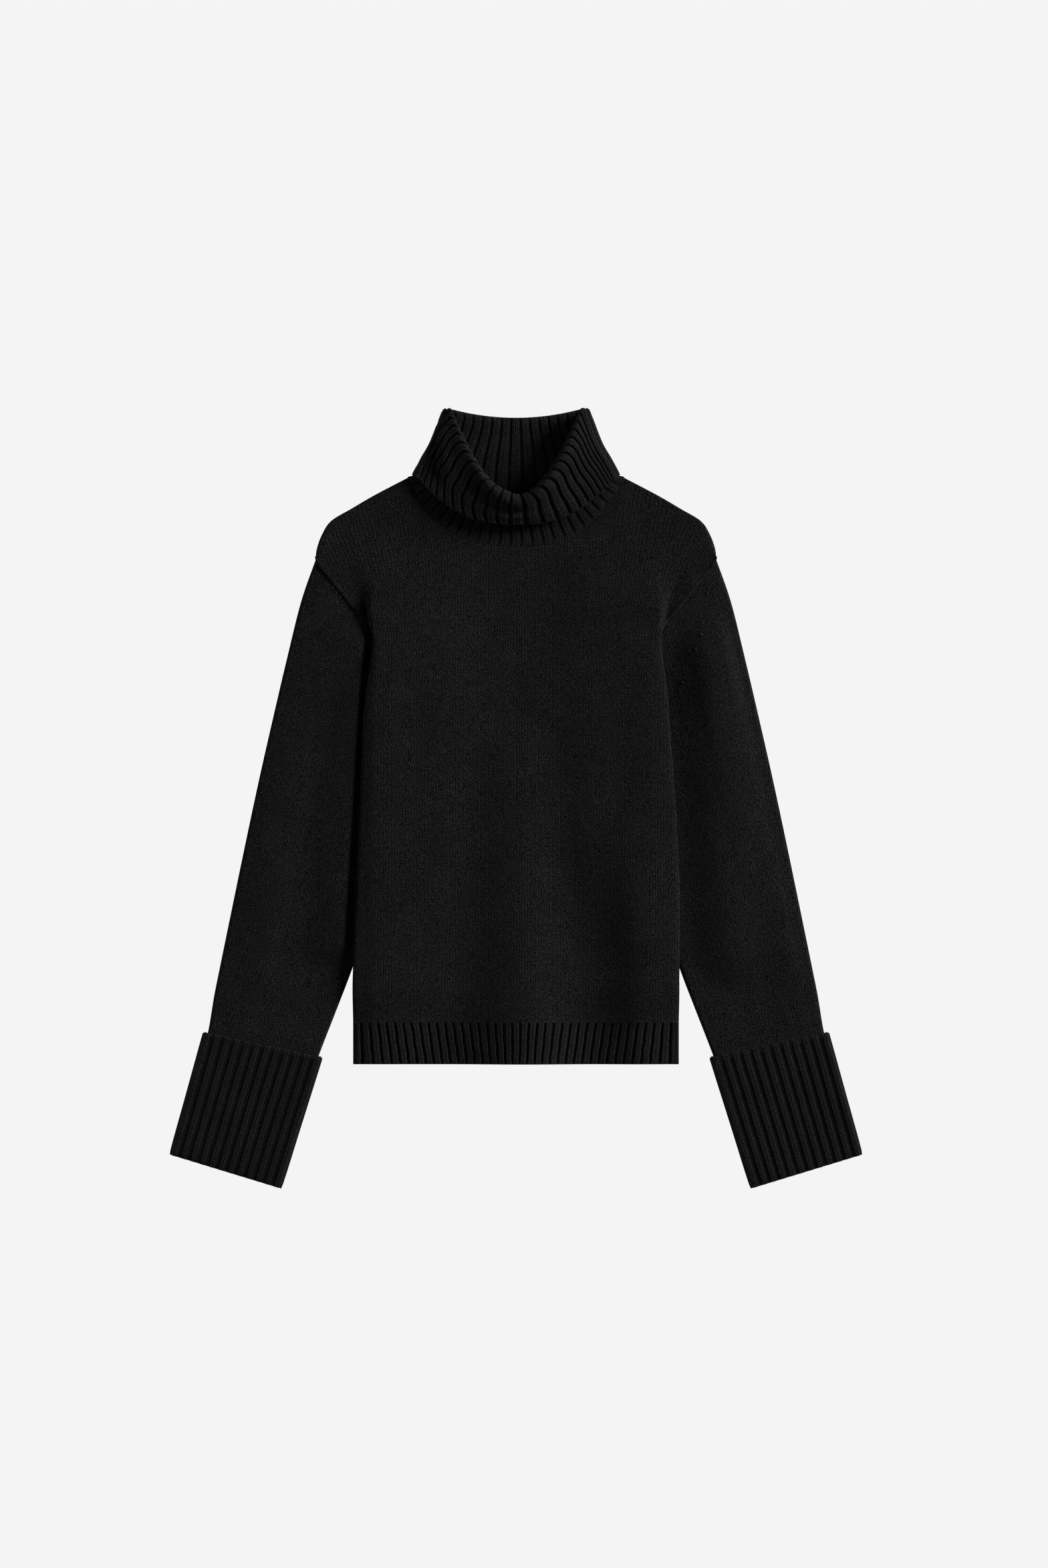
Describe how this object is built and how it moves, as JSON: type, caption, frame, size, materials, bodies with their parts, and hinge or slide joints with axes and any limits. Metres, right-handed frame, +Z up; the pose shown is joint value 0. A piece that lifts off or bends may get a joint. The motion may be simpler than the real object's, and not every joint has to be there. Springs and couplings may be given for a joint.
{
  "type": "turtleneck sweater",
  "caption": "Long-sleeved rib-collared turtleneck sweater in chunky plain knit, laid flat on its back with the sleeves beside the body, the collar and cuffs turned over.",
  "frame": {"origin": "on the surface that the sweater lies on, under the middle of its outline", "axes": "+X towards the right sleeve as seen from above, +Y from the hem up to the collar, +Z up from the surface, out of the front panel"},
  "size_m": [0.722, 0.8144, 0.0246],
  "materials": {
    "plain_knit": "matt black wool, plain knit",
    "rib_knit": "matt black wool, two-by-two rib"
  },
  "bodies": {
    "root": {"front": "plain_knit", "back": "plain_knit", "sleeve_left": "plain_knit", "sleeve_right": "plain_knit", "collar": "rib_knit", "hem_front": "rib_knit", "hem_back": "rib_knit", "cuff_left": "rib_knit", "cuff_right": "rib_knit"}
  },
  "joints": []
}
